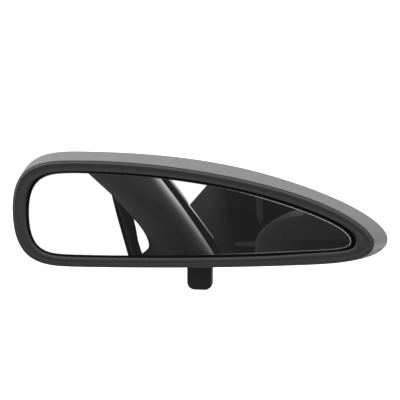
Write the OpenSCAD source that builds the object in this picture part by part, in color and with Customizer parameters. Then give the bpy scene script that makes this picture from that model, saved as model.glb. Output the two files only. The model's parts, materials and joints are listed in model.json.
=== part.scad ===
// Interior rear-view mirror with a teardrop head, a wedge glass, a day-night lever that tilts
// the head, and a ball-jointed stem on a foot that slides over a button bonded to the windscreen.
// The driver looks along +Y at the glass, +X is to the right and +Z is up.
// The row origin is the centre of the button's bonding face. The modules below work in the
// head frame: x = 0 on the ball's centre plane, y = 0 at the bezel's crest, z = 0 at mid height.

/* [Head] */
// Width of the front rim
head_w = 240; // [232:2:256]
// Depth from the bezel's crest to the flat back
head_d = 48; // [48:1:52]
// Depth at which the shell is widest
wide_y = 26; // [25:1:28]
// Middle of the head from the stem's centre plane, positive to the right
head_x = -1.8; // [-2.4:0.2:0]
// Wall thickness of the shell
wall = 2.4; // [2:0.1:2.8]

/* [Glass] */
// Recess of the glass behind the bezel's crest
glass_y = 2.6; // [2.2:0.1:3]
// Thickness of the glass at mid height
glass_t = 4; // [3.6:0.1:4.2]
// Angle between the two faces of the wedge glass
wedge_angle = 2.9; // [2:0.1:3]

/* [Ball joint] */
// Radius of the ball
ball_r = 7.5; // [7:0.1:7.6]
// Thickness of the plastic liner round the ball
liner_t = 1.95; // [1.8:0.05:2]
// Running clearance on each rubbing face
run = 0.05; // [0.02:0.01:0.08]
// Radius of the stem
stem_r = 5; // [4.5:0.1:5.4]

/* [Day-night lever] */
// Width of the finger tab
tab_w = 16.2; // [15:0.2:17]
// Distance from the lever's axle to the tab's tip
tab_reach = 26.1; // [24:0.1:28]
// Swing of the lever between day and night
lever_swing = 30; // [24:1:32]
// Distance from the lever's axle to its crank pin
crank_r = 5.5; // [5.3:0.1:5.7]

/* [Windscreen foot] */
// Angle of the windscreen above the horizontal
rake = 35; // [32:1:38]
// Height of the bonding button
button_h = 4.5; // [4:0.1:4.8]

/* [Hidden] */
$fn = 48;
eps = 0.1;

// Places in the head frame
mount_at = [0, 84, 13];      // centre of the bonding face
ball_at = [0, 38, -2];       // centre of the ball
hinge_at = [0, 26, 21];      // axis on which the head tilts
axle_at = [0, 20.5, -24];    // axis of the day-night lever
crank_at = axle_at + crank_r * [0, -sin(lever_swing / 2), cos(lever_swing / 2)];

// Colours
shell_plastic = [0.47, 0.47, 0.48];
black_plastic = [0.07, 0.07, 0.07];
bezel_plastic = [0.09, 0.09, 0.09];
lever_plastic = [0.05, 0.05, 0.05];
rubber = [0.03, 0.03, 0.03];
steel = [0.62, 0.63, 0.65];
zinc = [0.5, 0.5, 0.52];
nylon = [0.82, 0.81, 0.76];

// ---- Teardrop outlines -------------------------------------------------------------------
// A knot is [x, z, heading, reach of the curve before it, reach after it]. The knots go round
// clockwise as the driver sees them: left, top, top right, tip, bottom right, bottom left.
scale_w = head_w / 240;
rim_knots = [
    [-120, 2, 90, 36, 32], [-66, 35, 0, 34, 29], [50, 22, -13, 45, 52],
    [120, -13.5, -90, 8, 13], [66, -29.5, -176, 27, 65], [-80, -35, 180, 8, 20]
];
wide_knots = [
    [-124.7, 1.5, 90, 32, 36], [-75.5, 38.2, 0, 28, 43], [50, 24.5, -15, 43, 49],
    [124.4, -14, -90, 10.5, 16], [66, -32.3, -176, 12, 60], [-80, -37.8, 180, 20, 29]
];
glass_knots = [
    [-109.5, -0.3, 90, 27, 29], [-70, 26.5, 0, 21.5, 35], [47, 13.6, -14.3, 38, 18.2],
    [104.8, -12.5, -90, 9.9, 6.5], [55, -21.8, -175, 40, 9], [-78, -27.3, 180, 54, 18]
];
back_knots = [
    [-100, 2, 90, 18, 18], [-62, 20, 0, 25, 30], [38, 14, -9, 32, 32],
    [88, -10, -90, 5, 8], [48, -18, -177, 25, 45], [-74, -21, 180, 12, 15]
];
steps = 12; // points on each stretch between two knots

function aim(h) = [cos(h), sin(h)];
function stretch(a, b) =
    let (
        p0 = [a[0], a[1]], p3 = [b[0], b[1]],
        p1 = p0 + a[4] * aim(a[2]), p2 = p3 - b[3] * aim(b[2])
    )
    [for (i = [0 : steps - 1]) let (t = i / steps, u = 1 - t)
        u * u * u * p0 + 3 * u * u * t * p1 + 3 * u * t * t * p2 + t * t * t * p3];
function outline(knots) =
    let (n = len(knots))
    [for (i = [0 : n - 1], p = stretch(knots[i], knots[(i + 1) % n])) scale_w * p + [head_x, 0]];
function outward(pts, i) =
    let (n = len(pts), d = pts[(i + 1) % n] - pts[(i + n - 1) % n])
    [-d[1], d[0]] / norm(d);
function grow(pts, by) = [for (i = [0 : len(pts) - 1]) pts[i] + by * outward(pts, i)];
function between(a, b, share) = (1 - share) * a + share * b;
function ring(pts, y) = [for (p = pts) [p[0], y, p[1]]];

rim_front = outline(rim_knots);
rim_wide = outline(wide_knots);
back_flat = outline(back_knots);
glass_edge = outline(glass_knots);
gasket_w = 0.9;
glass_seat = grow(glass_edge, gasket_w);

// Skin over a list of rings. The outer side runs towards +Y. A looped skin joins its last
// ring to its first, and any other skin is closed by a flat cap at each end.
module skin(rings, looped = false) {
    n = len(rings[0]);
    m = len(rings);
    sides = [for (j = [0 : m - (looped ? 1 : 2)], i = [0 : n - 1])
        let (a = j * n, b = ((j + 1) % m) * n, k = (i + 1) % n)
        [a + i, b + i, b + k, a + k]];
    caps = looped ? [] : [[for (i = [0 : n - 1]) i], [for (i = [n - 1 : -1 : 0]) (m - 1) * n + i]];
    polyhedron([for (r = rings) each r], concat(sides, caps), convexity = 8);
}

// Flat slab of an outline between two depths
module slab(pts, y0, y1) {
    translate([0, y1, 0]) rotate([90, 0, 0]) linear_extrude(y1 - y0) polygon(pts);
}

// Everything between two planes parallel to the back of the wedge glass, by distance behind it
module wedge_layer(t0, t1) {
    translate([0, glass_y + glass_t, 0]) rotate([-wedge_angle, 0, 0])
        translate([-200, t0, -80]) cube([400, t1 - t0, 160]);
}

// Rods along X and along Y, by centre and length
module rod_x(at, r, x0, x1) {
    translate([x0, at[1], at[2]]) rotate([0, 90, 0]) cylinder(r = r, h = x1 - x0);
}
module rod_y(x, z, r, y0, y1) {
    translate([x, y0, z]) rotate([-90, 0, 0]) cylinder(r = r, h = y1 - y0);
}
// Side-view profile of [y, z] points, extruded between two x
module profile_x(pts, x0, x1) {
    translate([x0, 0, 0]) rotate([90, 0, 90]) linear_extrude(x1 - x0) polygon(pts);
}
// Turned body about the ball's Y axis, by [radius, distance behind the ball's centre] points
module turned(pts) {
    translate(ball_at) rotate([-90, 0, 0]) rotate_extrude() polygon(pts);
}
module both_sides() {
    children();
    mirror([1, 0, 0]) children();
}
module in_row_frame() {
    translate(-mount_at) children();
}
// Frame on the windscreen: +Z out of the bonding face, +Y down the glass
module on_windscreen() {
    translate(mount_at) rotate([-rake, 0, 0]) children();
}

// ---- Shell -------------------------------------------------------------------------------
shell_front_y = 2.4;
dome_steps = 7;
opening_r = 17.5;
slot_y = [9.5, 23.5];
boss_at = [[36, 12], [36, -14], [-36, 12], [-36, -14]];
boss_r = 3.6;
frame_y = 12.4;   // front of the mechanism frame's base plate
frame_t = 2;

function dome(wide, flat, depth) =
    [for (k = [0 : dome_steps]) let (a = 90 * k / dome_steps)
        ring(between(wide, flat, 1 - cos(a)), wide_y + depth * sin(a))];
function reversed(list) = [for (i = [len(list) - 1 : -1 : 0]) list[i]];

module rear_shell() {
    inner = concat(
        reversed(dome(grow(rim_wide, -wall), grow(back_flat, -1), head_d - wall - wide_y)),
        [ring(grow(rim_front, -wall), shell_front_y)]);
    outer = concat([ring(rim_front, shell_front_y)], dome(rim_wide, back_flat, head_d - wide_y));
    boss_y = frame_y + frame_t + eps;
    slot_x = tab_w / 2 + 1;
    in_row_frame() color(shell_plastic) difference() {
        union() {
            skin(concat(inner, outer));
            for (p = boss_at) rod_y(p[0], p[1], boss_r, boss_y, head_d - wall / 2);
        }
        for (p = boss_at) rod_y(p[0], p[1], screw_r + run, boss_y - 1, boss_y + 14);
        rod_y(0, ball_at[2], opening_r, head_d - 2 * wall, head_d + 1);
        translate([-slot_x, slot_y[0], -45]) cube([2 * slot_x, slot_y[1] - slot_y[0], 15]);
    }
}

module rear_trim_ring() {
    flange_r = opening_r + 3;
    bore_r = opening_r - 0.6;
    back = head_d - ball_at[1];
    in_row_frame() color(black_plastic) turned([
        [bore_r, back - wall], [opening_r - 0.1, back - wall], [opening_r - 0.1, back],
        [flange_r, back], [flange_r - 0.3, back + 0.7], [flange_r - 1, back + 1.1],
        [bore_r + 0.4, back + 1.1], [bore_r, back + 0.7]
    ]);
}

// ---- Bezel and glass ---------------------------------------------------------------------
// Cross-section of the bezel as [share of the way from the rim to the glass seat, depth]
bezel_section = [
    [0.01, 1.5], [0.01, 2.3], [0.4, 2.3], [0.4, 9.5], [0.52, 9.5], [0.56, 8.5], [1, 8.5],
    [1, 3], [0.94, 1.9], [0.88, 0.9], [0.82, 0.25], [0.78, 0.1], [0.72, 0.3], [0.58, 0.7],
    [0.42, 0.65], [0.28, 0.25], [0.2, 0.1], [0.1, 0.45]
];

module bezel_frame() {
    seat = grow(glass_seat, run);
    in_row_frame() color(bezel_plastic)
        skin([for (p = bezel_section) ring(between(rim_front, seat, p[0]), p[1])], looped = true);
}

module mirror_glass() {
    in_row_frame() color([0.75, 0.78, 0.8]) intersection() {
        slab(glass_edge, glass_y, glass_y + 2 * glass_t);
        wedge_layer(-2 * glass_t, 0);
    }
}

silvering_t = 0.2;
foam_t = 1;

module mirror_silvering() {
    in_row_frame() color([0.9, 0.9, 0.92]) intersection() {
        slab(grow(glass_edge, -0.4), glass_y, glass_y + 2 * glass_t);
        wedge_layer(0, silvering_t);
    }
}

module foam_pad() {
    in_row_frame() color([0.15, 0.15, 0.16]) intersection() {
        slab(grow(glass_edge, -1.5), glass_y, glass_y + 2 * glass_t);
        wedge_layer(silvering_t, silvering_t + foam_t);
    }
}

module glass_gasket() {
    in_row_frame() color(rubber) difference() {
        slab(grow(glass_edge, gasket_w - run), 3.3, 8.3);
        slab(grow(glass_edge, run), 3, 9);
    }
}

// Moulded plate behind the foam: a flange that lies on the bezel, a core that follows the
// wedge, and pockets behind that leave a grid of ribs
flange_y = 8.6;
plate_back_y = 10.3;
pocket = [17, 11];
rib_pitch = [19, 13];
pad_at = [28.5, 7.5];

module backing_plate() {
    flange_out = between(rim_front, glass_seat, 0.68);
    skin_t = 1;
    in_row_frame() color(bezel_plastic) difference() {
        union() {
            slab(flange_out, flange_y, plate_back_y);
            for (s = [-1, 1]) both_sides()
                rod_y(pad_at[0], s * pad_at[1], 2.5, flange_y, frame_y - 0.05);
            intersection() {
                slab(grow(glass_edge, -1.5), glass_y, plate_back_y);
                wedge_layer(silvering_t + foam_t, 20);
            }
        }
        intersection() {
            slab(grow(glass_edge, -1), flange_y - 1, plate_back_y);
            wedge_layer(-20, silvering_t + foam_t + 0.02);
        }
        intersection() {
            wedge_layer(silvering_t + foam_t + skin_t, 20);
            for (i = [-4 : 4], j = [-1 : 0])
                translate([i * rib_pitch[0] - pocket[0] / 2, 4, j * rib_pitch[1] + 1])
                    cube([pocket[0], 10, pocket[1]]);
        }
    }
}

// ---- Mechanism in the head ---------------------------------------------------------------
screw_r = 1.3;
cheek_x = [20, 23];
cheek_profile = [
    [frame_y + frame_t - eps, -28.5], [24.5, -28.5], [26, -20], [21.5, -11], [21.5, 8],
    [30.5, 16], [30.5, 24], [28, 25.2], [frame_y + frame_t - eps, 24.4]
];
hinge_pin_r = 2;
lever_pin_r = 1.5;
rivet_at = [12, -8];
rivet_r = 1.2;
bumper_at = [11, 5];
carrier_y = [23.5, 27];

module mech_frame() {
    plate_y = [frame_y, frame_y + frame_t];
    in_row_frame() color(zinc) difference() {
        union() {
            translate([-26, plate_y[0], -28.5]) cube([52, frame_t, 52.9]);
            translate([-41, plate_y[0], -19]) cube([82, frame_t, 36]);
            both_sides() profile_x(cheek_profile, cheek_x[0], cheek_x[1]);
            both_sides() rod_y(bumper_at[0], bumper_at[1], 3, plate_y[1] - eps, carrier_y[0] - 2.3);
        }
        rod_x(hinge_at, hinge_pin_r + 0.02, -30, 30);
        rod_x(axle_at, lever_pin_r + 0.02, -30, 30);
        for (p = boss_at) rod_y(p[0], p[1], screw_r + 0.3, 0, 30);
        both_sides() rod_y(rivet_at[0], rivet_at[1], rivet_r + 0.02, 0, 20);
        rod_y(0, 4, 6, 0, 20);
    }
}

module frame_screws() {
    head_h = 1.5;
    in_row_frame() color(steel) for (p = boss_at) difference() {
        union() {
            rod_y(p[0], p[1], 2.7, frame_y - head_h, frame_y);
            rod_y(p[0], p[1], screw_r, frame_y - eps, frame_y + 14);
        }
        for (a = [0, 90]) translate([p[0], frame_y - head_h, p[1]]) rotate([0, a, 0])
            cube([3, 1.6, 0.6], center = true);
    }
}

pin_end = 24.8;

module hinge_pin() {
    in_row_frame() color(steel) rod_x(hinge_at, hinge_pin_r, -pin_end, pin_end);
}

module lever_pin() {
    in_row_frame() color(steel) rod_x(axle_at, lever_pin_r, -pin_end, pin_end);
}

// E-clips that hold both pins in the cheeks
module clip_x(at, pin_r) {
    difference() {
        rod_x(at, pin_r + 1.8, cheek_x[1] + 0.1, cheek_x[1] + 0.8);
        rod_x(at, pin_r + 0.02, cheek_x[1], cheek_x[1] + 1);
        translate([cheek_x[1], at[1] - 1.2, at[2]]) cube([1, 2.4, 6]);
    }
}

module pin_clips() {
    in_row_frame() color(steel) both_sides() {
        clip_x(hinge_at, hinge_pin_r);
        clip_x(axle_at, lever_pin_r);
    }
}

spring_t = 0.5;
spring_face = frame_y + frame_t;
spring_x = [10.5, 16];
// How far the tongue stands off the frame, by height
spring_bow = [[0, -11], [0.55, -17], [0.85, -21], [0.9, axle_at[2]], [0.5, -27.5]];

// Leaf spring whose two tongues press on the lever's barrels
module detent_spring() {
    front = [for (p = spring_bow) p + [spring_face, 0]];
    back = [for (p = reversed(front)) p + [spring_t, 0]];
    in_row_frame() color(steel) difference() {
        union() {
            translate([-spring_x[1], spring_face, -12.2]) cube([2 * spring_x[1], spring_t, 7.2]);
            both_sides() profile_x(concat(front, back), spring_x[0], spring_x[1]);
        }
        both_sides() rod_y(rivet_at[0], rivet_at[1], rivet_r + 0.02, 0, 20);
    }
}

module spring_rivets() {
    in_row_frame() color(steel) both_sides() {
        rod_y(rivet_at[0], rivet_at[1], rivet_r, frame_y - 0.8, spring_face + spring_t + 0.8);
        rod_y(rivet_at[0], rivet_at[1], 2.1, spring_face + spring_t, spring_face + spring_t + 0.9);
        rod_y(rivet_at[0], rivet_at[1], 2.1, frame_y - 0.9, frame_y);
    }
}

// Rubber stops that the carrier rests on in the day position
module stop_bumpers() {
    in_row_frame() color(rubber) both_sides() {
        rod_y(bumper_at[0], bumper_at[1], 2.8, carrier_y[0] - 2.3, carrier_y[0] - 0.1);
    }
}

// ---- Day-night lever ---------------------------------------------------------------------
barrel_r = 4.6;
barrel_x = [7, 18.5];
lobe_x = 10;
flat_cut = 0.25;  // depth of the two flats that the spring snaps on to
tab_t = 5;

// Point in front of the lever's axle, for a lever turned by a, at radius r and aside of that radius
function flat_point(a, r, aside) = [
    axle_at[1] - r * cos(a) + aside * sin(a),
    axle_at[2] - r * sin(a) - aside * cos(a)
];
module barrel_flats() {
    depth = barrel_r - flat_cut;
    clear_r = barrel_r + 1;
    middle = lever_swing / 2;
    profile_x(
        [
            flat_point(0, depth, -2),
            flat_point(middle, depth / cos(middle), 0),
            flat_point(lever_swing, depth, 2),
            flat_point(lever_swing, clear_r, 2),
            flat_point(middle, clear_r / cos(middle), 0),
            flat_point(0, clear_r, -2)
        ],
        spring_x[0] - 0.3, barrel_x[1] + 1
    );
}

module lever_barrel() {
    difference() {
        union() {
            rod_x(axle_at, barrel_r, barrel_x[0], barrel_x[1]);
            rod_x(crank_at, 3, barrel_x[0], lobe_x);
        }
        barrel_flats();
        rod_x(axle_at, lever_pin_r + run, 0, 30);
        rod_x(crank_at, lever_pin_r + 0.02, 0, lobe_x + 0.05);
    }
}

module day_night_lever() {
    tip_z = axle_at[2] - tab_reach;
    tab_r = 4.5;
    yoke_z = -33;
    in_row_frame() color(lever_plastic) union() {
        both_sides() lever_barrel();
        // Yoke that joins the barrels under the axle
        translate([-barrel_x[1], axle_at[1] - 2.3, -30.5]) cube([2 * barrel_x[1], 4.6, 4]);
        translate([-tab_w / 2 + 0.3, axle_at[1] - 2.3, yoke_z]) cube([tab_w - 0.6, 4.6, 4]);
        // Finger tab with round lower corners
        slab(
            concat(
                [[-tab_w / 2, yoke_z + 1], [tab_w / 2, yoke_z + 1]],
                [for (s = [1, -1], a = [0 : 15 : 90]) let (turn = s > 0 ? a : 90 - a)
                    [s * (tab_w / 2 - tab_r + tab_r * cos(turn)), tip_z + tab_r - tab_r * sin(turn)]]
            ),
            axle_at[1] - tab_t / 2, axle_at[1] + tab_t / 2
        );
    }
}

module crank_pin() {
    in_row_frame() color(steel) rod_x(crank_at, lever_pin_r, -lobe_x, lobe_x);
}

// ---- Socket carrier, clamp and ball ------------------------------------------------------
liner_r = ball_r + run + liner_t;
cavity_r = liner_r + run;
cup_r = 15;
clamp_y = [ball_at[1] + 0.25, ball_at[1] + 5];
clamp_screw_r = 1.2;
clamp_ring_r = 12.3;
fork_clear = 0.25;

module on_clamp_circle() {
    for (a = [90, 210, 330]) translate([clamp_ring_r * cos(a), 0, ball_at[2] + clamp_ring_r * sin(a)])
        children();
}

module socket_carrier() {
    fork_half = lever_pin_r + fork_clear;
    fork_wall = 2;
    in_row_frame() color(zinc) difference() {
        union() {
            rod_x(hinge_at, 4, -19.5, 19.5);
            translate([-17, carrier_y[0], -16.5]) cube([34, carrier_y[1] - carrier_y[0], 37.5]);
            rod_y(0, ball_at[2], cup_r, carrier_y[0], ball_at[1]);
            translate([-6, crank_at[1] - fork_half - fork_wall, -21.2])
                cube([12, 2 * (fork_half + fork_wall), 9.5]);
            translate([-6, crank_at[1], -16.4]) cube([12, carrier_y[0] + 1 - crank_at[1], 4.7]);
        }
        rod_x(hinge_at, hinge_pin_r + run, -30, 30);
        translate([-7, crank_at[1] - fork_half, -22]) cube([14, 2 * fork_half, 5.4]);
        translate(ball_at) sphere(r = cavity_r);
        on_clamp_circle() rod_y(0, 0, clamp_screw_r + run, ball_at[1] - 8, ball_at[1] + 1);
    }
}

module socket_clamp() {
    in_row_frame() color(steel) difference() {
        rod_y(0, ball_at[2], cup_r, clamp_y[0], clamp_y[1]);
        translate(ball_at) sphere(r = cavity_r);
        on_clamp_circle() rod_y(0, 0, clamp_screw_r + 0.2, 0, 60);
    }
}

module clamp_screws() {
    in_row_frame() color(steel) on_clamp_circle() difference() {
        union() {
            rod_y(0, 0, clamp_screw_r, ball_at[1] - 7.5, clamp_y[1] + eps);
            rod_y(0, 0, 2.3, clamp_y[1], clamp_y[1] + 1.6);
        }
        for (a = [0, 90]) translate([0, clamp_y[1] + 1.6, 0]) rotate([0, a, 0])
            cube([2.8, 1.8, 0.6], center = true);
    }
}

// Split plastic shell between the ball and its socket
module ball_liner() {
    in_row_frame() color(nylon) difference() {
        translate(ball_at) rotate([-90, 0, 0]) rotate_extrude() difference() {
            circle(r = liner_r);
            circle(r = ball_r + run);
            translate([-20, -20]) square([20, 40]);
            polygon([[0, 0], 30 * aim(30), [0, 30]]);
            polygon([[0, 0], 30 * aim(-60), [0, -30]]);
        }
        for (a = [45, 135]) translate(ball_at) rotate([0, a, 0])
            translate([-12, -1, -0.5]) cube([24, 12, 1]);
    }
}

spigot_r = 2.5;
neck_r = 3.6;
neck_at = ball_r - 0.9;   // flat behind the ball where the neck begins
head_seat = -4.1;         // floor of the counterbore in the front of the ball

module ball() {
    in_row_frame() color(steel) translate(ball_at) rotate([-90, 0, 0]) rotate_extrude() difference() {
        circle(r = ball_r);
        translate([-2 * ball_r, -ball_r]) square([2 * ball_r, 2 * ball_r]);
        translate([0, -ball_r]) square([spigot_r + run, 2 * ball_r]);
        translate([0, -ball_r]) square([4.3, ball_r + head_seat]);
        translate([0, neck_at]) square(ball_r);
    }
}

module stem() {
    in_row_frame() color(steel) difference() {
        turned([
            [0, -4], [spigot_r, -4], [spigot_r, neck_at + run], [neck_r, neck_at + run],
            [neck_r, 10.5], [stem_r, 14], [stem_r, 41.5], [0, 41.5]
        ]);
        rod_y(0, ball_at[2], 1.02, 0, ball_at[1] + 3);
        rod_x([0, cross_pin_y, ball_at[2]], cross_pin_r + 0.02, -20, 20);
    }
}

module ball_screw() {
    in_row_frame() color(steel) difference() {
        turned([[0, -6.3], [3.4, -6.3], [3.9, -5.8], [3.9, head_seat - 0.05], [1, head_seat - 0.05],
            [1, 2], [0, 2]]);
        for (a = [0, 90]) translate(ball_at + [0, -6.3, 0]) rotate([0, a, 0])
            cube([3.6, 1.8, 0.7], center = true);
    }
}

// ---- Windscreen foot ---------------------------------------------------------------------
foot_x = 13.5;
foot_y = [-13.5, 16];
foot_z = [-11, -1];
button_y = 11;
boss_y = [63, 81];
foot_boss_r = 8;
cross_pin_y = 73;
cross_pin_r = 1.5;
set_screw_y = 7;
set_screw_r = 2;

// Dovetail across the glass, by its half widths at the face and at the far side
module dovetail(face_x, far_x, depth, y0, y1, above = 0) {
    translate([0, y1, 0]) rotate([90, 0, 0]) linear_extrude(y1 - y0)
        polygon([[-face_x, above], [face_x, above], [far_x, -depth], [-far_x, -depth]]);
}

module windscreen_button() {
    in_row_frame() color(steel) on_windscreen() dovetail(9, 11, button_h, -button_y, button_y);
}

module mount_foot() {
    cut = 3.5;
    in_row_frame() color(zinc) difference() {
        union() {
            on_windscreen() translate([0, 0, foot_z[0]]) linear_extrude(foot_z[1] - foot_z[0])
                polygon([
                    [-foot_x, foot_y[0] + cut], [-foot_x + cut, foot_y[0]],
                    [foot_x - cut, foot_y[0]], [foot_x, foot_y[0] + cut],
                    [foot_x, foot_y[1] - cut], [foot_x - cut, foot_y[1]],
                    [-foot_x + cut, foot_y[1]], [-foot_x, foot_y[1] - cut]
                ]);
            rod_y(0, ball_at[2], foot_boss_r, boss_y[0], boss_y[1]);
            profile_x([[boss_y[0] + 2, ball_at[2]], [boss_y[0] + 6, 15], [boss_y[1], 5],
                [boss_y[1], ball_at[2]]], -6, 6);
        }
        on_windscreen() dovetail(9.2, 11.25, button_h + 0.2, -button_y - 0.3, foot_y[1] + 1, 1);
        rod_y(0, ball_at[2], stem_r + 0.02, 0, ball_at[1] + 41.7);
        rod_x([0, cross_pin_y, ball_at[2]], cross_pin_r + 0.02, -20, 20);
        on_windscreen() translate([0, set_screw_y, -30]) cylinder(r = set_screw_r + run, h = 30);
    }
}

module stem_cross_pin() {
    in_row_frame() color(steel)
        rod_x([0, cross_pin_y, ball_at[2]], cross_pin_r, -foot_boss_r + 0.4, foot_boss_r - 0.4);
}

module set_screw() {
    in_row_frame() color(steel) on_windscreen() translate([0, set_screw_y, -button_h - 0.1])
        mirror([0, 0, 1]) difference() {
            cylinder(r = set_screw_r, h = 7);
            translate([0, 0, 4.5]) cylinder(r = 1.1, h = 4, $fn = 6);
        }
}

cover_base = [19, 22];   // half width and half length on the glass
cover_base_y = 1;
cover_wall = 1.8;
nose_r = foot_boss_r + 2.6;
nose_y = 60.5;
cover_steps = 8;
cover_points = 48;

// One line down the cover, from the nose at share 0 to the glass at share 1
function cover_point(a, share, inset) =
    let (
        squircle = pow(pow(abs(cos(a)), 4) + pow(abs(sin(a)), 4), -1 / 4),
        across = [for (half = cover_base) (half - inset) * squircle],
        out = [0, sin(rake), cos(rake)],
        down = [0, cos(rake), -sin(rake)],
        base = mount_at - 0.6 * out + [across[0] * cos(a), 0, 0]
            + (cover_base_y - across[1] * sin(a)) * down,
        nose = [(nose_r - inset) * cos(a), nose_y + inset, ball_at[2] + (nose_r - inset) * sin(a)],
        reach = norm(base - nose),
        p1 = nose + [0, 0.15 * reach, 0],
        p2 = base - 0.42 * reach * out,
        t = share,
        u = 1 - share
    )
    u * u * u * nose + 3 * u * u * t * p1 + 3 * u * t * t * p2 + t * t * t * base;
function cover_ring(share, inset) =
    [for (i = [0 : cover_points - 1]) cover_point(-360 * i / cover_points, share, inset)];
function nose_ring(r, y) =
    [for (i = [0 : cover_points - 1]) let (a = -360 * i / cover_points)
        [r * cos(a), y, ball_at[2] + r * sin(a)]];

module foot_cover() {
    outer = [for (k = [0 : cover_steps]) cover_ring(k / cover_steps, 0)];
    inner = [for (k = [cover_steps : -1 : 0]) cover_ring(k / cover_steps, cover_wall)];
    lip = nose_ring(stem_r + 0.5, nose_y + cover_wall);
    front = [nose_ring(stem_r + 0.5, nose_y - 1), nose_ring(nose_r - 1.6, nose_y - 0.9)];
    in_row_frame() color(black_plastic) skin(concat(front, outer, inner, [lip]), looped = true);
}

rear_shell();
rear_trim_ring();
bezel_frame();
mirror_glass();
mirror_silvering();
glass_gasket();
foam_pad();
backing_plate();
mech_frame();
frame_screws();
hinge_pin();
lever_pin();
pin_clips();
detent_spring();
spring_rivets();
stop_bumpers();
day_night_lever();
crank_pin();
socket_carrier();
socket_clamp();
clamp_screws();
ball_liner();
ball();
stem();
ball_screw();
mount_foot();
stem_cross_pin();
set_screw();
foot_cover();
windscreen_button();
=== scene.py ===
import json
import math

import bmesh
import bpy
import numpy as np
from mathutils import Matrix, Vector


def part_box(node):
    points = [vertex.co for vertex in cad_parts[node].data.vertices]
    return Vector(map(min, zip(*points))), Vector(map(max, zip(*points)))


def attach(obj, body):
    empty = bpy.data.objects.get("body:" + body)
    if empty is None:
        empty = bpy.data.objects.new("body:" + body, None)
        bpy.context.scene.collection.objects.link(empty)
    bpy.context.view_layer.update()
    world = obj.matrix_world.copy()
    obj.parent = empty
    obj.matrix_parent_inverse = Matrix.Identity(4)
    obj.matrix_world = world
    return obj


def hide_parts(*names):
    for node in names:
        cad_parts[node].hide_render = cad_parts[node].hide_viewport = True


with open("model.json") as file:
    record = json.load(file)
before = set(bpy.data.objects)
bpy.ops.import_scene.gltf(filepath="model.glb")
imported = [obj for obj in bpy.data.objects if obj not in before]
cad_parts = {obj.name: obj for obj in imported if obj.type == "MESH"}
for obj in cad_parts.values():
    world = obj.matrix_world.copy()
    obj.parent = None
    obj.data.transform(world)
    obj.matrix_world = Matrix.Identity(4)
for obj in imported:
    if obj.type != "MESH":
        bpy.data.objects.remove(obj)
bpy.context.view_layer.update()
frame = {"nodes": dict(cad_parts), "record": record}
scene = bpy.context.scene

MM = 0.001
STEPS = 28  # points on each stretch of an outline, between two knots

# ---- Outlines ------------------------------------------------------------------------------
# A knot is [x, z, heading, reach of the curve before it, reach after it], in mm from the
# middle of the rim. The knots go round clockwise as the driver sees them.
RIM = [[-120, 2, 90, 36, 32], [-66, 35, 0, 34, 29], [50, 22, -13, 45, 52],
       [120, -13.5, -90, 8, 13], [66, -29.5, -176, 27, 65], [-80, -35, 180, 8, 20]]
WIDE = [[-124.7, 1.5, 90, 32, 36], [-75.5, 38.4, 0, 28, 43], [50, 24.5, -15, 43, 49],
        [124.4, -14, -90, 10.5, 16], [66, -32.3, -176, 12, 60], [-80, -37.8, 180, 20, 29]]
BACK = [[-100, 2, 90, 18, 18], [-62, 20, 0, 25, 30], [38, 14, -9, 32, 32],
        [88, -10, -90, 5, 8], [48, -18, -177, 25, 45], [-74, -21, 180, 12, 15]]
LIP = [[-110.9, 0.9, 90, 25.6, 27.8], [-65.5, 27.9, 0, 28.6, 47.6], [49.6, 15.1, -13.9, 28.7, 18.3],
       [108.3, -11.5, -90, 10, 8.1], [60.4, -23, -174.5, 45.7, 31.8], [-82.2, -28.5, 180, 43.1, 17.3]]
GLASS = [[-109.4, -0.3, 90, 27, 29], [-70, 26.5, 0, 21.5, 35], [47, 13.6, -14.3, 38, 18.2],
         [104.7, -12.4, -90, 9.9, 6.5], [55, -21.6, -175, 40, 9], [-78, -26.95, 180, 54, 18]]


def bezier(p0, p1, p2, p3, t):
    """The point at share t of a curve from p0 to p3, which p1 and p2 pull."""
    u = 1 - t
    return u**3 * p0 + 3 * u * u * t * p1 + 3 * u * t * t * p2 + t**3 * p3


def heading(degrees):
    """The direction of a heading: 0 is to the right and 90 is up."""
    return np.array([math.cos(math.radians(degrees)), math.sin(math.radians(degrees))])


def outline(knots):
    """A closed outline through the knots, as points."""
    points = []
    for a, b in zip(knots, knots[1:] + knots[:1]):
        p0, p3 = np.array(a[:2], float), np.array(b[:2], float)
        p1, p2 = p0 + a[4] * heading(a[2]), p3 - b[3] * heading(b[2])
        points += [bezier(p0, p1, p2, p3, i / STEPS) for i in range(STEPS)]
    return np.array(points)


def outward(points):
    """The direction out of an outline at each of its points."""
    along = np.roll(points, -1, 0) - np.roll(points, 1, 0)
    normal = np.stack([-along[:, 1], along[:, 0]], 1)
    return normal / np.linalg.norm(normal, axis=1, keepdims=True)


def grow(points, by):
    return points + by * outward(points)


def ring(points, y):
    """The outline at a depth: y is one number, or one for each point."""
    return np.stack([points[:, 0], np.broadcast_to(y, len(points)), points[:, 1]], 1)


def eased(value, start, end):
    """A soft step from 0 to 1."""
    t = np.clip((value - start) / (end - start), 0, 1)
    return t * t * (3 - 2 * t)


rim, wide, back_face = outline(RIM), outline(WIDE), outline(BACK)
lip, glass = outline(LIP), outline(GLASS)

# ---- Places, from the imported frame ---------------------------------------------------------
low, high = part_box("bezel_frame")
FRONT = 0.1 * MM  # the bezel's crest stands this far behind the head's front plane
HEAD = Vector(((low.x + high.x) / 2, low.y - FRONT,
               (low.z + high.z) / 2 - MM * (rim[:, 1].max() + rim[:, 1].min()) / 2))
MIDDLE = Vector((0, HEAD.y, HEAD.z))  # the same, on the ball's centre plane
BALL = Vector((0, 38, -2))  # the ball's centre, in mm from MIDDLE


# ---- Mesh tools ----------------------------------------------------------------------------
def shade(obj, sharp=32):
    """Smooth shading, but for edges that turn by more than sharp degrees."""
    obj.data.shade_smooth()
    obj.data.set_sharp_from_angle(angle=math.radians(sharp))


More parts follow.
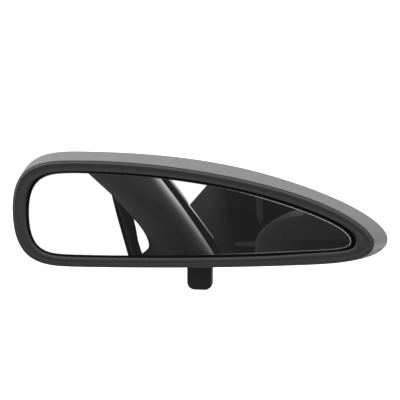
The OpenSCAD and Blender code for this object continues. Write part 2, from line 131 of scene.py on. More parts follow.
def solid(name, verts, faces, origin, sharp=32):
    """A closed mesh from points in mm about an origin, with smooth shading between sharp edges."""
    mesh = bpy.data.meshes.new(name)
    mesh.from_pydata([tuple(origin + MM * Vector(v)) for v in verts], [], faces)
    shaper = bmesh.new()
    shaper.from_mesh(mesh)
    bmesh.ops.remove_doubles(shaper, verts=shaper.verts, dist=1e-7)
    bmesh.ops.recalc_face_normals(shaper, faces=shaper.faces)
    shaper.to_mesh(mesh)
    shaper.free()
    obj = bpy.data.objects.new(name, mesh)
    scene.collection.objects.link(obj)
    shade(obj, sharp)
    return obj


def loft(name, rings, origin, looped=False, sharp=32):
    """A skin over rings of equal length. A looped one is a closed tube; any other gets end caps."""
    n, m = len(rings[0]), len(rings)
    faces = [(j * n + i, ((j + 1) % m) * n + i, ((j + 1) % m) * n + (i + 1) % n, j * n + (i + 1) % n)
             for j in range(m if looped else m - 1) for i in range(n)]
    if not looped:
        faces += [tuple(range(n)), tuple(range((m - 1) * n, m * n))]
    return solid(name, np.concatenate(rings), faces, origin, sharp)


def join_solids(obj, other, operation):
    """Boolean of two solids, applied; the second one goes."""
    step = obj.modifiers.new("join", "BOOLEAN")
    step.object, step.operation, step.solver = other, operation, "EXACT"
    bpy.context.view_layer.update()
    result = obj.evaluated_get(bpy.context.evaluated_depsgraph_get())
    mesh = bpy.data.meshes.new_from_object(result)
    obj.modifiers.clear()
    obj.data = mesh
    bpy.data.objects.remove(other)
    shade(obj)


def circle(r, y, x=0.0, z=BALL.z, count=96):
    """A circle that faces the driver, round the stem's axis unless x and z say otherwise."""
    turn = [2 * math.pi * i / count for i in range(count)]
    return [(x + r * math.cos(a), y, z + r * math.sin(a)) for a in turn]


def rounded_section(half_u, half_v, r, corner=8):
    """A rounded rectangle, as points round the origin."""
    points = []
    for k, (su, sv) in enumerate(((1, 1), (-1, 1), (-1, -1), (1, -1))):
        for i in range(corner + 1):
            a = math.radians(90 * (k + i / corner))
            points.append((su * (half_u - r) + r * math.cos(a), sv * (half_v - r) + r * math.sin(a)))
    return np.array(points)


def both_ends(x0, x1, levels):
    """Places from end to end along x. A level is a distance from the end, and how far the skin
    is drawn in there."""
    return [(x0 + d, inset) for d, inset in levels] + [(x1 - d, inset) for d, inset in levels[::-1]]


def bar(name, reach, y, z, half_y, half_z, r):
    """A bar along x, as far to the left as to the right, with rounded edges and eased ends."""
    rings = []
    for x, inset in both_ends(-reach, reach, ((0, 0.35), (0.12, 0.1), (0.35, 0))):
        section = rounded_section(half_y - inset, half_z - inset, r)
        rings.append([(x, y + u, z + v) for u, v in section])
    return loft(name, rings, MIDDLE)


def rod(name, x0, x1, centre, r, ease=0.0):
    """A round rod along x about a centre (y, z); ease rounds off its two ends."""
    turn = [2 * math.pi * i / 64 for i in range(64)]
    levels = ((0, ease), (0.3 * ease, 0.3 * ease), (ease, 0)) if ease else ((0, 0),)
    rings = []
    for x, inset in both_ends(x0, x1, levels):
        rings.append([(x, centre[0] + (r - inset) * math.cos(a), centre[1] + (r - inset) * math.sin(a))
                      for a in turn])
    return loft(name, rings, MIDDLE)


# ---- Materials -----------------------------------------------------------------------------
def add_node(tree, kind, **values):
    """A new shader node, with values for its inputs, whose names have _ for a space here."""
    made = tree.nodes.new(kind)
    for key, value in values.items():
        made.inputs[key.replace("_", " ")].default_value = value
    return made


def set_ramp(ramp, stops):
    """Give a colour ramp these stops, each a position and a colour, in order."""
    for (position, colour), stop in zip((stops[0], stops[-1]), (ramp.elements[0], ramp.elements[-1])):
        stop.position, stop.color = position, colour
    for position, colour in stops[1:-1]:
        ramp.elements.new(position).color = colour


def surface(name, colour, rough, metal=0.0, specular=0.5, mottle=0.1, grain=1500.0,
            stretch=(1, 1, 1), relief=0.02, rough_swing=0.06, coat=0.0, cloud=0.35):
    """A moulded or metal surface: fine grain in colour, roughness and height, and a broad cloud
    of variation over it. Grain is in cycles per metre, relief in mm, and cloud is the cloud's share."""
    mat = bpy.data.materials.new(name)
    mat.use_nodes = True
    tree = mat.node_tree
    shader = tree.nodes["Principled BSDF"]
    shader.inputs["Metallic"].default_value = metal
    shader.inputs["Specular IOR Level"].default_value = specular
    shader.inputs["Coat Weight"].default_value = coat
    shader.inputs["Coat Roughness"].default_value = 0.2
    where = add_node(tree, "ShaderNodeTexCoord")
    scaled = add_node(tree, "ShaderNodeMapping", Scale=stretch)
    fine = add_node(tree, "ShaderNodeTexNoise", Scale=grain, Detail=3.0, Roughness=0.6)
    broad = add_node(tree, "ShaderNodeTexNoise", Scale=42.0, Detail=3.0, Roughness=0.5)
    blend = add_node(tree, "ShaderNodeMix", Factor=cloud)
    tint = add_node(tree, "ShaderNodeValToRGB")
    set_ramp(tint.color_ramp, ((0.35, [c * (1 - mottle) for c in colour] + [1]),
                               (0.65, [min(c * (1 + mottle), 1) for c in colour] + [1])))
    polish = add_node(tree, "ShaderNodeMapRange", From_Min=0.35, From_Max=0.65,
                      To_Min=max(rough - rough_swing, 0), To_Max=rough + rough_swing)
    height = add_node(tree, "ShaderNodeBump", Strength=1.0, Distance=relief * MM)
    link = tree.links.new
    link(where.outputs["Object"], scaled.inputs["Vector"])
    link(scaled.outputs["Vector"], fine.inputs["Vector"])
    link(where.outputs["Object"], broad.inputs["Vector"])
    link(fine.outputs["Fac"], blend.inputs["A"])
    link(broad.outputs["Fac"], blend.inputs["B"])
    link(blend.outputs["Result"], tint.inputs["Fac"])
    link(blend.outputs["Result"], polish.inputs["Value"])
    link(fine.outputs["Fac"], height.inputs["Height"])
    link(tint.outputs["Color"], shader.inputs["Base Color"])
    link(polish.outputs["Result"], shader.inputs["Roughness"])
    link(height.outputs["Normal"], shader.inputs["Normal"])
    return mat


SLOT_MATERIAL = {
    "shell": surface("satin_grey_moulding", (0.126, 0.126, 0.128), 0.5, specular=0.4, mottle=0.22,
                     grain=1300.0, stretch=(0.6, 0.3, 1), relief=0.04, cloud=0.04),
    "bezel": surface("black_soft_touch", (0.021, 0.021, 0.021), 0.46, specular=0.35, mottle=0.12,
                     grain=2200.0, relief=0.008),
    "lever": surface("black_lever_moulding", (0.0045, 0.0045, 0.0045), 0.46, specular=0.3, mottle=0.15,
                     grain=1600.0, relief=0.012),
    "mirror": surface("silvered_glass", (0.93, 0.935, 0.935), 0.003, metal=1.0, mottle=0.006,
                      grain=400.0, relief=0.0, rough_swing=0.003),
    "glass": surface("ground_glass_edge", (0.46, 0.47, 0.47), 0.35, specular=0.6, mottle=0.1,
                     grain=3000.0, relief=0.01),
    "rubber": surface("black_rubber", (0.006, 0.006, 0.006), 0.75, specular=0.15, mottle=0.2,
                      grain=2500.0),
    "foam": surface("grey_foam", (0.05, 0.05, 0.052), 0.95, specular=0.1, mottle=0.35,
                    grain=1400.0, relief=0.15),
    "inner_plastic": surface("black_moulding", (0.035, 0.035, 0.035), 0.5, mottle=0.12, grain=1200.0),
    "zinc": surface("cast_zinc", (0.4, 0.4, 0.42), 0.42, metal=1.0, mottle=0.14, grain=700.0,
                    relief=0.03, rough_swing=0.12),
    "steel": surface("plated_steel", (0.36, 0.365, 0.38), 0.4, metal=1.0, mottle=0.06, grain=900.0,
                     stretch=(0.1, 1, 1), relief=0.004, rough_swing=0.08),
    "nylon": surface("natural_nylon", (0.72, 0.7, 0.64), 0.42, mottle=0.06, grain=900.0),
    "stem_black": surface("black_satin_paint", (0.02, 0.02, 0.021), 0.38, mottle=0.15, grain=1300.0,
                          relief=0.01, coat=0.3),
}
# Painted shade: a darker, duller black that the bezel wears only inside the gap round the glass, where
# shade falls.
RECESS_SHADE = surface("painted_recess_shade", (0.004, 0.004, 0.004), 0.7, specular=0.1, mottle=0.2, grain=1800.0,
                 relief=0.01)
# the button is blasted for the adhesive, where the other steel parts are plated
BLASTED = surface("blasted_steel", (0.26, 0.262, 0.27), 0.62, metal=1.0, mottle=0.14, grain=1500.0,
                  relief=0.02)


def give(obj, *materials):
    """Put these materials on an object, and no others."""
    obj.data.materials.clear()
    for material in materials:
        obj.data.materials.append(material)


def finished(obj, body, slot, node):
    """Tie a visual piece to its body, to the node that it stands for, and to its material."""
    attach(obj, body)
    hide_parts(node)
    give(obj, SLOT_MATERIAL[slot])


for part in frame["record"]["subparts"]:
    give(frame["nodes"][part["node"]], SLOT_MATERIAL[part["material_slot"]])
give(frame["nodes"]["windscreen_button"], BLASTED)

# ---- Housing -------------------------------------------------------------------------------
WALL = 2.4
EDGE_Y, WIDE_Y, DEPTH = 2.4, 26.0, 48.0  # how far back the front edge, the widest ring and the back are
SHOULDER = 0.92  # share of the straight wall before it turns into the dome
DOME_PULL = 13  # how far the dome goes on in the wall's direction
OPENING_R = 17.5  # of the hole in the back, round the stem
BOSS_X, BOSS_Z = (36, -36), (12, -14)
BORE_R, BORE_FROM, BORE_TO = 1.55, 13, 28.5


def housing_rings(front, widest, flat, y0, y1, count):
    """Rings up the straight wall and over the dome to the flat of the back."""
    step = ring(widest, WIDE_Y) - ring(front, y0)
    aim = step / np.linalg.norm(step, axis=1, keepdims=True)
    p0 = ring(front, y0) + SHOULDER * step
    p1 = p0 + DOME_PULL * aim
    p2 = ring(flat + 0.55 * (widest - flat), y1)
    p3 = ring(flat, y1)
    walls = [ring(front, y0) + SHOULDER * step * k / 7 for k in range(7)]
    return walls + [bezier(p0, p1, p2, p3, k / count) for k in range(count + 1)]


def boss(x, z):
    """A screw boss from the mech frame to the back, widest where it meets the dome."""
    levels = ((2.9, 14.6), (3.3, 14.7), (3.6, 15.1), (3.6, 44.5), (4.2, 46.4))
    return loft("boss", [circle(r, y, x, z, 48) for r, y in levels], MIDDLE)


def screw_bore(x, z):
    return loft("bore", [circle(BORE_R, y, x, z, 32) for y in (BORE_FROM, BORE_TO)], MIDDLE)


def make_housing():
    inner = housing_rings(grow(rim, -WALL), grow(wide, -WALL), grow(back_face, -1),
                          EDGE_Y, DEPTH - WALL, 18)
    edge = [ring(grow(rim, -0.5), EDGE_Y), ring(grow(rim, -0.15), EDGE_Y + 0.1)]
    outer = housing_rings(rim, wide, back_face, EDGE_Y + 0.35, DEPTH, 22)
    housing = loft("housing", inner[::-1] + edge + outer, HEAD, sharp=28)
    opening = [circle(OPENING_R, y) for y in (DEPTH - 2 * WALL, DEPTH + 2)]
    join_solids(housing, loft("opening", opening, MIDDLE), "DIFFERENCE")
    slot = bar("slot", reach=9.1, y=16.5, z=-37.5, half_y=7, half_z=7.5, r=1.2)
    join_solids(housing, slot, "DIFFERENCE")
    for x in BOSS_X:
        for z in BOSS_Z:
            join_solids(housing, boss(x, z), "UNION")
            join_solids(housing, screw_bore(x, z), "DIFFERENCE")
    finished(housing, "head", "shell", "rear_shell")


make_housing()

# ---- Bezel ---------------------------------------------------------------------------------
ROLL_TOP, ROLL_BOTTOM, ROLL_LEFT, ROLL_TIP = 0.5, 1.7, 2.0, 3.0  # widths of the lip's rolled edge
# Painted shade: the faces of the lip's inside behind this depth take a darker black than the rest of the
# bezel, for the shade in the gap round the glass.
PAINTED_SHADE_Y = 2.25  # behind this depth the inside of the lip is in the dark gap round the glass
glass_seat = grow(glass, 0.95)
# the lip's edge is tight along the top and rolls over widely at the tall end and the tip
rightward, upward = outward(lip)[:, 0], outward(lip)[:, 1]
roll = (np.where(upward > 0, ROLL_TOP, ROLL_BOTTOM) * upward**2
        + np.where(rightward > 0, ROLL_TIP, ROLL_LEFT) * rightward**2)[:, None]
lowered = 0.6 * np.maximum(upward, 0)  # the lip stands further back along the top


def rim_rings():
    """Depth of the rim at each distance in from it: a plain bevel, with a bead along the top."""
    beaded = np.clip(1.5 * outward(rim)[:, 1], 0, 1)
    levels = ((0.1, 2.3, 2.3), (0.05, 1.95, 1.95), (0.12, 1.7, 1.8), (0.35, 1.5, 1.72),
              (0.6, 1.34, 1.64), (0.8, 1.2, 1.56), (1.05, 1.03, 1.26), (1.3, 0.86, 0.84),
              (1.55, 0.69, 0.55), (1.8, 0.52, 0.44), (2.05, 0.38, 0.38), (2.25, 0.36, 0.36),
              (2.5, 0.42, 0.44))
    return [ring(grow(rim, -d), plain + beaded * (bead - plain)) for d, plain, bead in levels]


def dish_rings():
    """The dished face, from the rim to the crest of the lip. It is shallower along the bottom."""
    outer, inner = grow(rim, -2.9), lip + roll * outward(lip)
    sunk = 1 + 0.35 * np.minimum(upward, 0)
    levels = ((0, 0.62), (0.12, 0.84), (0.26, 0.9), (0.46, 0.82), (0.7, 0.58), (0.88, 0.34))
    return [ring(outer + share * (inner - outer), 0.1 + (y - 0.1) * sunk + share * lowered)
            for share, y in levels]


def lip_rings():
    """The lip's edge, from its crest over the roll."""
    levels = ((1, 0.1), (0.8, 0.13), (0.6, 0.22), (0.4, 0.38), (0.22, 0.62), (0.08, 0.96), (0, 1.5))
    return [ring(lip + share * roll * outward(lip), y + lowered) for share, y in levels]


def rear_rings():
    """The seat of the glass and the back of the bezel, out to where it meets the housing."""
    rings = [ring(glass_seat, 4.6), ring(glass_seat, 8.5)]
    for share, y in ((0.56, 8.5), (0.52, 9.5), (0.4, 9.5), (0.4, 2.35)):
        rings.append(ring(rim + share * (glass_seat - rim), y))
    return rings


def make_bezel():
    face_rings = rim_rings() + dish_rings() + lip_rings()
    recess = [ring(grow(lip, -0.2), 2.4), ring(grow(lip, -0.3), 4.0)]
    bezel = loft("bezel", face_rings + recess + rear_rings(), HEAD, looped=True, sharp=38)
    finished(bezel, "head", "bezel", "bezel_frame")
    # Painted shade: the recess faces behind that depth get the darker second material.
    bezel.data.materials.append(RECESS_SHADE)
    for face in bezel.data.polygons:
        gets_painted_shade = (face.center - HEAD).y / MM > PAINTED_SHADE_Y
        if gets_painted_shade and face.index // len(rim) in (len(face_rings), len(face_rings) + 1):
            face.material_index = 1


make_bezel()

# ---- Glass ---------------------------------------------------------------------------------
GLASS_Y, GLASS_T, WEDGE = 2.6, 4.0, math.radians(2.9)
DRAWN_IN = 0.48  # how far the glass stands in from its outline at the tall end


def glass_back(points, ahead=0.0):
    """Depth of the tilted back face at each point."""
    return GLASS_Y + GLASS_T - ahead + points[:, 1] * math.tan(-WEDGE)


def ground_width(points):
    """Width of the ground edge, which is widest round the tip and fades out over the tall end."""
    x, upper = points[:, 0], outward(points)[:, 1] > 0
    tipward = np.where(upper, eased(x, 12, 58), eased(x, -20, 60))
    corner = np.where(upper, eased(x, -108, -98) * (1 - eased(x, -88, -74)), 0)
    return (0.06 + 0.36 * np.maximum(tipward, corner))[:, None]


def make_glass():
    bevel = ground_width(glass)
    pane = grow(glass, -DRAWN_IN * np.maximum(-outward(glass)[:, :1], 0) ** 2)
    small = grow(pane, -0.35)
    rings = [ring(pane - bevel * outward(pane), GLASS_Y),
             ring(pane - 0.2 * bevel * outward(pane), GLASS_Y + 0.25),
             ring(pane, GLASS_Y + 0.55),
             ring(pane, glass_back(pane, 0.35)),
             ring(small, glass_back(small))]
    mirror = loft("mirror_glass_ground", rings, HEAD, sharp=20)
    finished(mirror, "head", "mirror", "mirror_glass")
    give(mirror, SLOT_MATERIAL["glass"], SLOT_MATERIAL["mirror"])
    for face in mirror.data.polygons:
        front = len(face.vertices) > 4 and (face.center - HEAD).y / MM < GLASS_Y + 0.1
        face.material_index = 1 if front else 0


make_glass()

# ---- Day-night lever -----------------------------------------------------------------------
AXLE = (20.5, -24.0)  # y and z
CRANK_ARM, CRANK_LEAN = 5.5, math.radians(15)
CRANK = (AXLE[0] - CRANK_ARM * math.sin(CRANK_LEAN), AXLE[1] + CRANK_ARM * math.cos(CRANK_LEAN))
TAB_HALF, TAB_THICK = 8.3, 2.5  # half the tab's width and half its thickness
TIP, YOKE = -49.95, -33.0  # heights of the tab's two ends
BARREL_FROM, BARREL_TO, BARREL_R = 7, 18.5, 4.6
LOBE_FROM, LOBE_TO, LOBE_R = 7.05, 10, 3
CORNER_R, EDGE_R = 5.2, 2.0  # how the tab's corners and edges run out at the tip
FLAT_FROM, FLAT_TO, FLAT_DEPTH, FLAT_HALF = 10.2, 19.5, 4.35, 2
SWING = 30  # degrees between day and night


def run_out(r, above):
    """How far a round of radius r is drawn in, at a height above the tip."""
    return r - math.sqrt(max(r**2 - max(r - above, 0) ** 2, 0))


def tab_ring(above):
    """One level of the finger tab, a rounded slab."""
    half_x, half_y = TAB_HALF - run_out(CORNER_R, above), TAB_THICK - run_out(EDGE_R, above)
    section = rounded_section(half_x, half_y, min(0.9, 0.6 * half_y), 10)
    return [(x, AXLE[0] + y, TIP + above) for x, y in section]


def on_side(side, near, far):
    """Two places along x, from left to right, on the side -1 or 1."""
    return sorted((near * side, far * side))


def flats(side):
    """What is cut off a barrel for the spring: the two flats of day and night, at a swing apart."""
    reach = FLAT_DEPTH / math.cos(math.radians(SWING / 2))
    section = []
    for a, r, aside in ((0, FLAT_DEPTH, -FLAT_HALF), (SWING / 2, reach, 0), (SWING, FLAT_DEPTH, FLAT_HALF),
                        (SWING, 5.6, FLAT_HALF), (SWING / 2, 5.8, 0), (0, 5.6, -FLAT_HALF)):
        c, s = math.cos(math.radians(a)), math.sin(math.radians(a))
        section.append((AXLE[0] - r * c + aside * s, AXLE[1] - r * s - aside * c))
    ends = on_side(side, FLAT_FROM, FLAT_TO)
    return loft("flats", [[(x, y, z) for y, z in section] for x in ends], MIDDLE)


def pin_radius(node):
    """Radius of a pin along x, in mm."""
    pin_low, pin_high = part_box(node)
    return (pin_high.z - pin_low.z) / 2 / MM


def make_lever():
    levels = (0.01, 0.07, 0.23, 0.5, 0.9, 1.4, 2, 2.7, 3.5, 4.5, 6, 8, 10, 12, 14, 15.8, YOKE - TIP)
    lever = loft("finger_lever", [tab_ring(above) for above in levels], MIDDLE, sharp=50)
    neck = bar("neck", reach=7.8, y=AXLE[0], z=-31, half_y=2.25, half_z=3.2, r=0.6)
    join_solids(lever, neck, "UNION")
    yoke = bar("yoke", reach=18, y=AXLE[0], z=-28.5, half_y=2.3, half_z=2, r=0.5)
    join_solids(lever, yoke, "UNION")
    for side in (-1, 1):
        barrel = rod("barrel", *on_side(side, BARREL_FROM, BARREL_TO), AXLE, BARREL_R, ease=0.3)
        join_solids(lever, barrel, "UNION")
        lobe = rod("lobe", *on_side(side, LOBE_FROM, LOBE_TO), CRANK, LOBE_R, ease=0.2)
        join_solids(lever, lobe, "UNION")
    for side in (-1, 1):
        join_solids(lever, flats(side), "DIFFERENCE")
    lever_bore = rod("lever_bore", -19, 19, AXLE, pin_radius("lever_pin") + 0.05)
    join_solids(lever, lever_bore, "DIFFERENCE")
    crank_bore = rod("crank_bore", -10.15, 10.15, CRANK, pin_radius("crank_pin") + 0.02)
    join_solids(lever, crank_bore, "DIFFERENCE")
    shade(lever, 40)
    finished(lever, "lever", "lever", "day_night_lever")


make_lever()

# ---- Foot cover and trim ring --------------------------------------------------------------
RAKE = math.radians(35)  # of the windscreen
OUT = np.array([0, math.sin(RAKE), math.cos(RAKE)])
DOWN = np.array([0, math.cos(RAKE), -math.sin(RAKE)])
MOUNT = np.array([0, 84.0, 13.0])  # the button's bonding face, from MIDDLE
NOSE_R, NOSE_Y, COVER_WALL = 10.6, 60.5, 1.8
MOUTH_R = 5.5  # the hole that the stem comes out of
BASE_X, BASE_Z = 19, 22  # half sizes of the rounded base on the windscreen
COVER_COUNT = 112


def cover_ring(share, inset):
    """One ring of the cover's skin, from the round nose at 0 to the squarish base at 1."""
    points = []
    for i in range(COVER_COUNT):
        a = 2 * math.pi * i / COVER_COUNT
        c, s = math.cos(a), math.sin(a)
        reach = (abs(c) ** 4 + abs(s) ** 4) ** -0.25
        base = (MOUNT - 0.6 * OUT + np.array([(BASE_X - inset) * reach * c, 0, 0])
                + (1 - (BASE_Z - inset) * reach * s) * DOWN)
        nose = np.array([(NOSE_R - inset) * c, NOSE_Y + inset, BALL.z + (NOSE_R - inset) * s])
        far = np.linalg.norm(base - nose)
        p1, p2 = nose + np.array([0, 0.15 * far, 0]), base - 0.42 * far * OUT
        points.append(bezier(nose, p1, p2, base, share))
    return points


def make_cover():
    levels = ((MOUTH_R, 0.7), (5.75, 0.95), (6.2, 1.0), (8.6, 0.95), (9.5, 0.8), (10.2, 0.45))
    nose = [circle(r, NOSE_Y - rise, count=COVER_COUNT) for r, rise in levels]
    outside = [cover_ring(k / 22, 0) for k in range(23)]
    inside = [cover_ring(k / 16, COVER_WALL) for k in range(16, -1, -1)]
    mouth = [circle(MOUTH_R, NOSE_Y + COVER_WALL, count=COVER_COUNT)]
    cover = loft("foot_cover_skin", nose + outside + inside + mouth, MIDDLE, looped=True, sharp=40)
    finished(cover, "windscreen_mount", "bezel", "foot_cover")


def make_trim():
    levels = ((16.9, -WALL), (17.4, -WALL), (17.4, 0), (20.5, 0), (20.45, 0.35), (20.2, 0.7),
              (19.8, 0.95), (19.3, 1.08), (18.4, 1.1), (17.6, 1.08), (17.15, 0.95), (16.95, 0.7))
    rings = [circle(r, DEPTH + rise, count=128) for r, rise in levels]
    trim = loft("trim_ring", rings, MIDDLE, looped=True)
    finished(trim, "head", "bezel", "rear_trim_ring")


make_cover()
make_trim()

# ---- Camera --------------------------------------------------------------------------------
AZIMUTH, ELEVATION, DISTANCE = math.radians(13.5), math.radians(6.5), 1.716
AHEAD = math.cos(AZIMUTH) * math.cos(ELEVATION)  # how squarely the camera faces the glass
toward = Vector((math.sin(AZIMUTH) * math.cos(ELEVATION), -AHEAD, math.sin(ELEVATION)))
lens = bpy.data.cameras.new("camera")
lens.lens, lens.sensor_width = 240.5, 36.0
lens.clip_end = 1000
camera = bpy.data.objects.new("camera", lens)
camera.location = HEAD + MM * Vector((6.7, 0, 11.43)) + DISTANCE * toward
camera.rotation_euler = toward.to_track_quat("Z", "Y").to_euler()
scene.collection.objects.link(camera)
scene.camera = camera
scene.view_settings.view_transform = "Standard"

# ---- Stage: what the glass reflects, glowing cards with painted light and shade ------------
WHITE = 266  # a grey level that the silvering still returns as white
glass_y = HEAD.y + GLASS_Y * MM
behind = Vector((camera.location.x, 2 * glass_y - camera.location.y, camera.location.z))


def linear(grey):
    """Scene value of a grey level from 0 to 255."""
    v = grey / 255
    return v / 12.92 if v <= 0.04045 else ((v + 0.055) / 1.055) ** 2.4


def glow(name):
    """Painted light: a glow, with no lamp, in the greys that its mesh carries."""
    mat = bpy.data.materials.new(name)
    mat.use_nodes = True
    tree = mat.node_tree
    tree.nodes.clear()
    grey = add_node(tree, "ShaderNodeAttribute")
    grey.attribute_name = "grey"
    emit = add_node(tree, "ShaderNodeEmission", Strength=1.0)
    out = add_node(tree, "ShaderNodeOutputMaterial")
    tree.links.new(grey.outputs["Color"], emit.inputs["Color"])
    tree.links.new(emit.outputs["Emission"], out.inputs["Surface"])
    return mat


PAINTED_CABIN_LIGHT = glow("painted_cabin_light")


def reflected(x, z, away):
    """The place, so many mm in front of the glass, that the driver sees in the glass at x and z."""
    spread = 1 + away * MM / (DISTANCE * AHEAD)
    seen_at = Vector((HEAD.x + x * MM, glass_y, HEAD.z + z * MM))
    return tuple(behind + (seen_at - behind) * spread)


def card(name, left, right, away, tones, shares=(0, 1)):
    """A glowing strip of the cabin between two edges, each a list of as many (x, z), for a painted
    reflection. Tones are its greys, with the cabin's light and shade painted in, at the shares of
    the way across: one tuple, or a tuple for each of some heights of the left edge. Only reflections
    see a card, and of two the one with the lower away is in front."""
    if not isinstance(tones, dict):
        tones = {0: tones}
    heights = sorted(tones)
    verts, colours = [], []
    for j, share in enumerate(shares):
        across = [tones[height][j] for height in heights]
        for (x0, z0), (x1, z1) in zip(left, right):
            verts.append(reflected(x0 + share * (x1 - x0), z0 + share * (z1 - z0), away))
            value = linear(np.interp(z0, heights, across))
            colours += [value, value, value, 1.0]
    n = len(left)
    faces = [(j * n + i, j * n + i + 1, (j + 1) * n + i + 1, (j + 1) * n + i)
             for j in range(len(shares) - 1) for i in range(n - 1)]
    mesh = bpy.data.meshes.new(name)
    mesh.from_pydata(verts, [], faces)
    grey = mesh.attributes.new("grey", "FLOAT_COLOR", "POINT")
    grey.data.foreach_set("color", colours)
    # painted light and shade: the card glows in its own greys, lit by no lamp
    mesh.materials.append(PAINTED_CABIN_LIGHT)
    obj = bpy.data.objects.new(name, mesh)
    scene.collection.objects.link(obj)
    obj.visible_camera = obj.visible_diffuse = obj.visible_transmission = obj.visible_shadow = False


def pillar_near(z):
    """The rear pillar's near edge, where the seal begins."""
    return -0.92 - 0.734 * z - 0.00194 * z * z


def seal_near(z):
    """The near edge of the seal beside the pillar."""
    return 4.47 - 0.791 * z - 0.00153 * z * z


def pillar_far(z):
    """The pillar's far edge: straight down from the roof, with a rounded foot."""
    if z > -3.6:
        return np.interp(z, (-3.6, 13.4, 62), (-37, -53.3, -110))
    if z > -19.4:
        return -27.9 - 0.1 * (z + 19.4) ** 1.63
    return max(-27.9 - 0.12 * (-19.4 - z) ** 2.3, -33)


def down(edge, heights, shift=0.0):
    """Points of an edge at some heights."""
    return [(edge(z) + shift, z) for z in heights]


def make_far_side():
    """The windows, and the shade of the cabin's far side, which is darker to the right."""
    card("window", [(-150, -70), (-150, 70)], [(150, -70), (150, 70)], 420, (WHITE, WHITE))
    heights = (60, 20, 1, -25, -45)
    card("cabin", [(-20, z) for z in heights], [(140, z) for z in heights], 414,
         {20: (60, 58, 49, 41, 35, 35, 33), 1: (54, 51, 46, 41, 35, 32, 32),
          -25: (38, 38, 39, 39, 38, 33, 33)}, (0, 0.18, 0.228, 0.256, 0.281, 0.331, 1))
    roof = [(-0.8 + 0.872 * (z - 7.8), z) for z in (46, 27, 17, 7.4)]
    card("gap", down(seal_near, (46, 27, 17, 7.4)), roof, 410, (WHITE, WHITE))


def make_pillar():
    """The pillar with light along its near edge, and the seal beside it."""
    levels = [62, 40, 27, 20, 13, 8.5, 4, 0, *range(-3, -26, -2), -26, -44]
    card("pillar", down(pillar_far, levels), down(pillar_near, levels, -6.9), 402,
         {15: (56, 59, 56, 49, 54, 59), 8.5: (56, 62, 59, 46, 46, 56), -4: (40, 56, 54, 46, 44, 51),
          -10: (36, 53, 53, 45, 43, 50), -17: (30, 42, 48, 42, 41, 51), -21: (30, 38, 45, 42, 39, 48),
          -24: (33, 36, 42, 46, 38, 42)}, (0, 0.05, 0.12, 0.45, 0.75, 1))
    card("pillar_light", down(pillar_near, levels, -8.6), down(pillar_near, levels), 401,
         {16: (57, 73, 112, 158, 186, 192), 9.6: (56, 70, 101, 150, 174, 178),
          -2.5: (51, 62, 86, 126, 143, 145), -11: (50, 58, 76, 117, 135, 136),
          -18: (50, 58, 70, 98, 118, 120), -23: (40, 50, 62, 85, 110, 112)},
         (0, 0.3, 0.55, 0.75, 0.9, 1))
    card("seal", down(pillar_near, levels), down(seal_near, levels), 406, (24, 37, 33, 35, 47),
         (0, 0.2, 0.45, 0.8, 1))
    haze = [(seal_near(z) + width, z) for z, width in ((33, 3.5), (17, 3.3), (10.4, 2.4), (8.1, 1.4))]
    card("seal_haze", down(seal_near, (33, 17, 10.4, 8.1)), haze, 405, (47, 120, 200, WHITE),
         (0, 0.35, 0.65, 1))
    glint = [(seal_near(z) + width, z) for z, width in ((8.1, 1.0), (0.7, 0.9), (-13.3, 0.6))]
    card("seal_glint", down(seal_near, (8.1, 0.7, -13.3)), glint, 404,
         {8.1: (200, 200), 0.7: (165, 165), -13.3: (120, 120)})


def make_post():
    """The near headrest's post, lit down its middle, and the light between it and the pillar."""
    card("post", [(-53, 13.4), (-49.4, -0.6), (-42.3, -25), (-37, -46)],
         [(-52.4, 13.4), (-38.5, -0.6), (-32.4, -25), (-27, -46)], 403,
         (26, 28, 43, 32, 30, 28), (0, 0.2, 0.32, 0.46, 0.8, 1))
    levels = [-3.8, *range(-6, -24, -2), -23.8]
    left = [(np.interp(z, (-24, -16.6, -3.8), (-32.8, -35.1, -37.4)), z) for z in levels]
    card("light_between", left, down(pillar_far, levels, -0.4), 398, (WHITE, WHITE))


def make_strap():
    """The strap and the grab handle behind the far seat."""
    card("strap", [(42.4, 18), (43, 3.9), (45, -3.2)], [(47.7, 18.2), (47.5, 4), (48.2, -1.6)], 411,
         {3.9: (44, 48, 47, 38), -3.2: (40, 44, 42, 36)}, (0, 0.3, 0.7, 1))
    card("handle", [(28.5, -16.9), (29.6, -15.6), (31.5, -15), (42.8, -14.5)],
         [(28.5, -17.3), (29.6, -18), (31.5, -18.2), (42.8, -18)], 411, (46, 51, 45), (0, 0.4, 1))


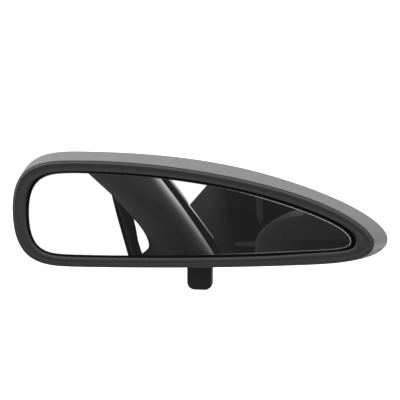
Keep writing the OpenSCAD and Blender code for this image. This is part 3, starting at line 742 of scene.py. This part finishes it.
def make_seat():
    """The far seat: its side with a painted highlight along its near edge, the lit top of its headrest,
    and the weave of its cover.
    """
    corner = [np.array(p) for p in ((42.6, -16.8), (42.6, -7.2), (54.5, 0), (64.6, 4.8))]
    side = [(42.6, -40)] + [tuple(bezier(*corner, k / 8)) for k in range(9)]
    # painted highlight: the side's greys are brightest along its near edge
    card("seat", side, [(110, z + 1.4) for x, z in side], 410,
         {-17: (66, 50, 45, 43, 40, 36), -8: (72, 51, 47, 45, 43, 42), -1.4: (66, 52, 48, 45, 43, 42),
          2: (56, 54, 50, 46, 44, 42), 4.8: (52, 54, 52, 46, 44, 42)}, (0, 0.025, 0.15, 0.35, 0.6, 1))
    card("seat_below", [(60, -40), (60, -13.4)], [(110, -40), (110, -12.1)], 409, (43, 37, 34),
         (0, 0.3, 1))
    card("seat_top", [(53.3, -1.2), (59, 2.2), (64.6, 5), (69.4, 6.6), (73.8, 5.6)],
         [(53.4, -3.2), (59, -1.7), (64.6, 0.2), (69.4, 1.6), (73.5, 2.4)], 408,
         {-1.2: (64, 57, 52, 48), 2.2: (64, 59, 55, 46), 5: (62, 66, 60, 43), 5.6: (66, 78, 69, 43)},
         (0, 0.3, 0.7, 1))
    for k in range(14):
        x, z = 47.2 + 1.15 * k, -8.2 - 1.5 * (k * 5 % 4) + 0.5 * k
        grey = (54, 37, 51, 40)[k % 4]
        stroke = [(x, z), (x + 0.9, z - 2.6), (x + 2.4, z - 4.6 - k % 3)]
        card("weave_%d" % k, stroke, [(u + 0.5, v) for u, v in stroke], 406, (grey, grey))


make_far_side()
make_pillar()
make_post()
make_strap()
make_seat()


# ---- Stage: floor and light ----------------------------------------------------------------
def make_floor():
    mesh = bpy.data.meshes.new("floor")
    mesh.from_pydata([(-90, -60, -0.6), (90, -60, -0.6), (90, 120, -0.6), (-90, 120, -0.6)], [],
                     [(0, 1, 2, 3)])
    paper = bpy.data.materials.new("pale_floor")
    paper.use_nodes = True
    shader = paper.node_tree.nodes["Principled BSDF"]
    shader.inputs["Base Color"].default_value = (0.9, 0.9, 0.9, 1)
    shader.inputs["Roughness"].default_value = 0.9
    shader.inputs["Emission Color"].default_value = (1, 1, 1, 1)
    shader.inputs["Emission Strength"].default_value = 0.6
    mesh.materials.append(paper)
    floor = bpy.data.objects.new("floor", mesh)
    scene.collection.objects.link(floor)
    floor.visible_diffuse = floor.visible_glossy = False


def make_world():
    """White to the camera, and a soft gradient from below to above for everything else."""
    world = bpy.data.worlds.new("studio")
    world.use_nodes = True
    scene.world = world
    tree = world.node_tree
    tree.nodes.clear()
    ray = add_node(tree, "ShaderNodeLightPath")
    where = add_node(tree, "ShaderNodeTexCoord")
    parts = add_node(tree, "ShaderNodeSeparateXYZ")
    level = add_node(tree, "ShaderNodeMapRange", From_Min=-1.0, From_Max=1.0)
    tone = add_node(tree, "ShaderNodeValToRGB")
    set_ramp(tone.color_ramp, [(position, (value, value, value, 1)) for position, value in
                               ((0.0, 0.85), (0.2, 0.46), (0.52, 0.78), (1.0, 1.25))])
    white = add_node(tree, "ShaderNodeBackground", Color=(1, 1, 1, 1))
    soft = add_node(tree, "ShaderNodeBackground")
    mix = add_node(tree, "ShaderNodeMixShader")
    out = add_node(tree, "ShaderNodeOutputWorld")
    link = tree.links.new
    link(where.outputs["Generated"], parts.inputs["Vector"])
    link(parts.outputs["Z"], level.inputs["Value"])
    link(level.outputs["Result"], tone.inputs["Fac"])
    link(tone.outputs["Color"], soft.inputs["Color"])
    link(ray.outputs["Is Camera Ray"], mix.inputs["Fac"])
    link(soft.outputs["Background"], mix.inputs[1])
    link(white.outputs["Background"], mix.inputs[2])
    link(mix.outputs["Shader"], out.inputs["Surface"])


def softbox(name, place, width, height, power):
    """A wide lamp that points at the head."""
    lamp = bpy.data.lights.new(name, "AREA")
    lamp.shape, lamp.size, lamp.size_y, lamp.energy = "RECTANGLE", width, height, power
    obj = bpy.data.objects.new(name, lamp)
    obj.location = place
    obj.rotation_euler = (Vector(place) - HEAD).to_track_quat("Z", "Y").to_euler()
    obj.visible_camera = False
    scene.collection.objects.link(obj)


make_floor()
make_world()
softbox("top_light", (0.0, -0.25, 1.1), 1.6, 0.8, 7.4)
softbox("side_light", (0.75, 0.35, -0.42), 0.7, 0.3, 3)
softbox("left_light", (-1.1, 0.0, 0.6), 1.3, 1.3, 9)
softbox("front_light", (0.9, -1.2, 0.1), 0.7, 0.7, 2)
